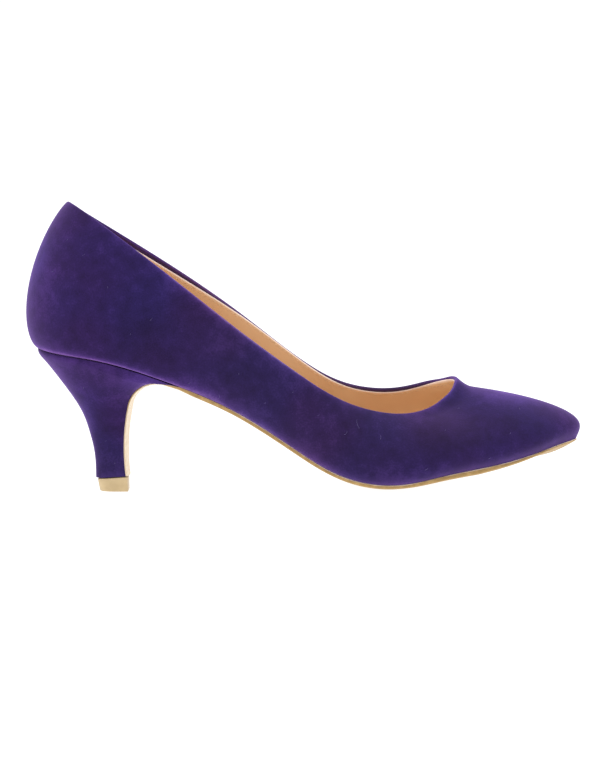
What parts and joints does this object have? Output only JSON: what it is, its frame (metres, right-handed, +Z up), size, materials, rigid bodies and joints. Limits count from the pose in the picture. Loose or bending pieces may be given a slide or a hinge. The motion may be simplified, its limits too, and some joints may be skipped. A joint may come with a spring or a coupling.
{
  "type": "pump shoe",
  "caption": "Pointed-toe suede pump with a low curved heel, open collar, tan lining and thin leather sole that runs down the heel's front.",
  "frame": {"origin": "on the floor, under the middle of the shoe's bounding box", "axes": "+X from the heel to the toe, +Y to the inner side of the foot, +Z up from the floor"},
  "size_m": [0.24, 0.0818, 0.1263],
  "materials": {
    "upper_suede": "dark purple suede with a short nap, matte",
    "sock_leather": "smooth tan lining leather, low sheen",
    "sole_leather": "smooth tan sole leather with a golden edge",
    "heel_suede": "dark purple suede stretched over the block, matte",
    "top_piece": "hard beige plastic, satin"
  },
  "bodies": {
    "root": {"upper": "upper_suede", "insole": "sock_leather", "outsole": "sole_leather", "heel": "heel_suede", "top_piece": "top_piece"}
  },
  "joints": []
}
